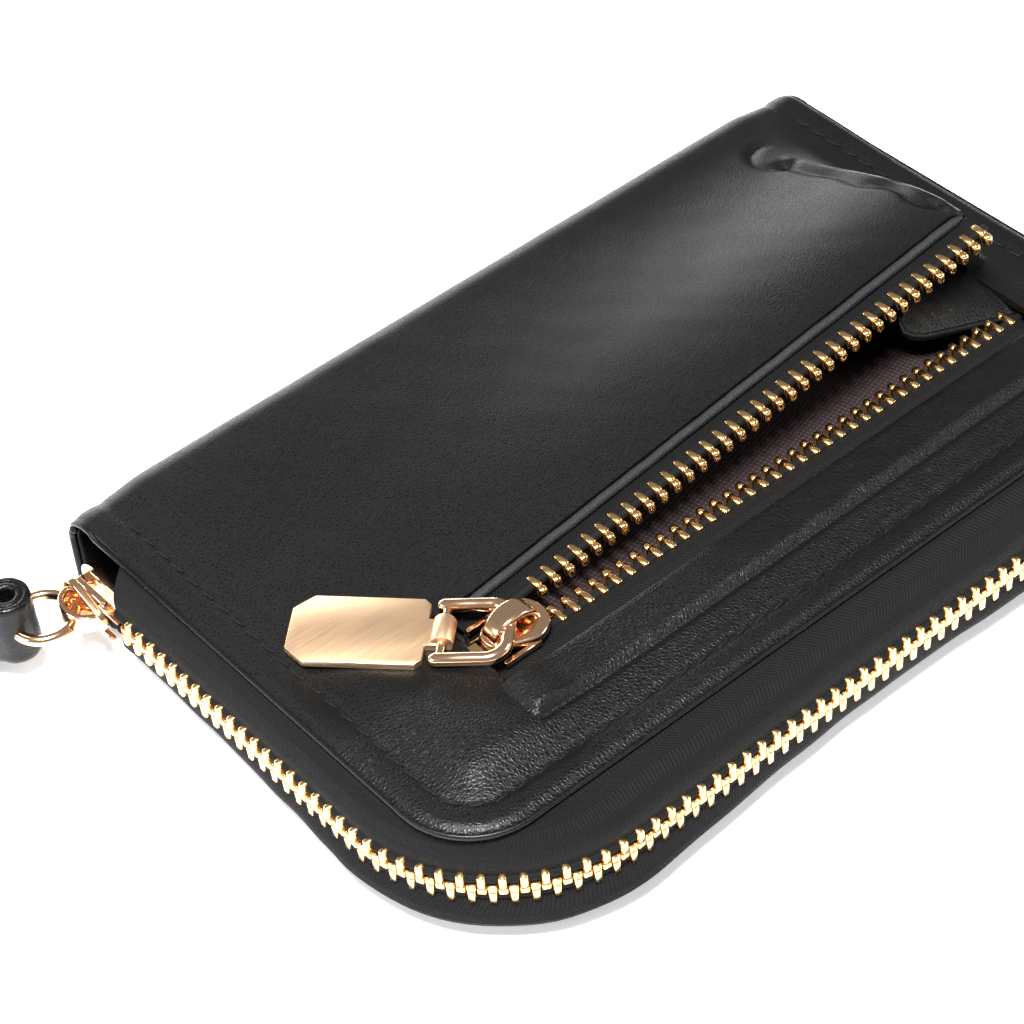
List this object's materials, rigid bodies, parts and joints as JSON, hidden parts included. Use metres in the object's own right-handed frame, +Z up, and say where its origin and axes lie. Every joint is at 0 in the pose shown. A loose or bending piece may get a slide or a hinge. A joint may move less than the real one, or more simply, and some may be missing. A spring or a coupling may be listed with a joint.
{
  "type": "wristlet wallet",
  "caption": "Flat zip-around wristlet wallet with a zipped coin pocket on its front cover, inner card pockets, a tab pull and a looped wrist strap on a ring.",
  "frame": {"origin": "centre of the back cover's underside, on the surface the wallet lies on", "axes": "+X along the long side towards the closed end of the coin zip, +Y from the front edge to the spine, +Z up through the covers"},
  "size_m": [0.2703, 0.1792, 0.0298],
  "materials": {
    "black_leather": "smooth black leather with a fine grain and a soft sheen",
    "zip_tape": "black herringbone polyester tape",
    "lining_cloth": "dark maroon-brown woven lining",
    "stiffener_board": "grey-brown fibre board",
    "yellow_gold": "polished yellow gold plate",
    "rose_gold": "rose gold plate, satin tab and polished slider"
  },
  "bodies": {
    "back": {"back_cover_leather": "black_leather", "back_cover_board": "stiffener_board", "back_lining": "lining_cloth", "back_card_pocket_1": "lining_cloth", "back_card_pocket_2": "lining_cloth", "spine_leather": "black_leather", "main_zip_lower_teeth": "yellow_gold", "main_zip_lower_tape": "zip_tape", "main_zip_bottom_stop": "yellow_gold"},
    "front_cover": {"front_cover_leather": "black_leather", "front_cover_board": "stiffener_board", "front_lining": "lining_cloth", "front_card_pocket_1": "lining_cloth", "front_card_pocket_2": "lining_cloth", "main_zip_upper_teeth": "yellow_gold", "main_zip_upper_tape": "zip_tape", "coin_flap_leather": "black_leather", "coin_pocket_gusset": "black_leather", "coin_pocket_bag": "lining_cloth", "coin_zip_front_teeth": "yellow_gold", "coin_zip_front_tape": "zip_tape", "coin_zip_bottom_stop": "yellow_gold"},
    "main_slider": {"main_slider_body": "rose_gold", "main_slider_crown": "rose_gold"},
    "ring": {"strap_ring": "yellow_gold"},
    "strap": {"wrist_strap": "black_leather", "strap_rivet": "yellow_gold"},
    "coin_slider": {"coin_slider_body": "rose_gold", "coin_slider_crown": "rose_gold"},
    "coin_flap_row": {"coin_zip_flap_tape": "zip_tape", "coin_flap_binding": "black_leather"},
    "coin_flap_teeth": {"coin_zip_flap_teeth": "yellow_gold"},
    "coin_link": {"coin_pull_link": "rose_gold"},
    "coin_tab": {"coin_pull_tab": "rose_gold"}
  },
  "joints": [
    {"name": "cover_hinge", "type": "hinge", "parent": "back", "child": "front_cover", "pos_m": [0, 0.045, 0.009], "axis": [-1, 0, 0], "range_deg": [0, 180], "deforming": ["spine_leather"]},
    {"name": "main_zip_slide", "type": "slide", "parent": "back", "child": "main_slider", "axis": [0, -1, 0], "range_m": [0, 0.048], "deforming": ["main_zip_lower_teeth", "main_zip_upper_teeth"]},
    {"name": "ring_swing", "type": "hinge", "parent": "main_slider", "child": "ring", "pos_m": [-0.0726, 0.03265, 0.009], "axis": [0, 0, 1], "range_deg": [-25, 35]},
    {"name": "strap_swing", "type": "hinge", "parent": "ring", "child": "strap", "pos_m": [-0.08037, 0.03829, 0.009], "axis": [0, 0, 1], "range_deg": [-30, 60]},
    {"name": "coin_zip_slide", "type": "slide", "parent": "front_cover", "child": "coin_slider", "axis": [1, 0, 0], "range_m": [0, 0.083], "deforming": ["coin_zip_front_teeth", "coin_flap_leather", "coin_pocket_gusset"]},
    {"name": "coin_flap_lift", "type": "hinge", "parent": "front_cover", "child": "coin_flap_row", "pos_m": [-0.0373, 0, 0.0171], "axis": [0, 1, 0], "range_deg": [0, 7.4], "deforming": ["coin_zip_flap_tape", "coin_flap_binding"]},
    {"name": "coin_flap_draw", "type": "slide", "parent": "coin_flap_row", "child": "coin_flap_teeth", "axis": [0, -1, 0], "range_m": [0, 0.003], "deforming": ["coin_zip_flap_teeth"]},
    {"name": "coin_link_lift", "type": "hinge", "parent": "coin_slider", "child": "coin_link", "pos_m": [-0.03921, -0.0193, 0.02065], "axis": [0.7314, 0.682, 0], "range_deg": [0, 62]},
    {"name": "coin_tab_lift", "type": "hinge", "parent": "coin_link", "child": "coin_tab", "pos_m": [-0.04492, -0.01318, 0.01995], "axis": [0.7314, 0.682, 0], "range_deg": [0, 45]}
  ],
  "couplings": [
    {"joint": "coin_flap_lift", "follows": "coin_zip_slide", "rad_per_m": 1.5561},
    {"joint": "coin_flap_draw", "follows": "coin_zip_slide", "ratio": 0.036144}
  ]
}
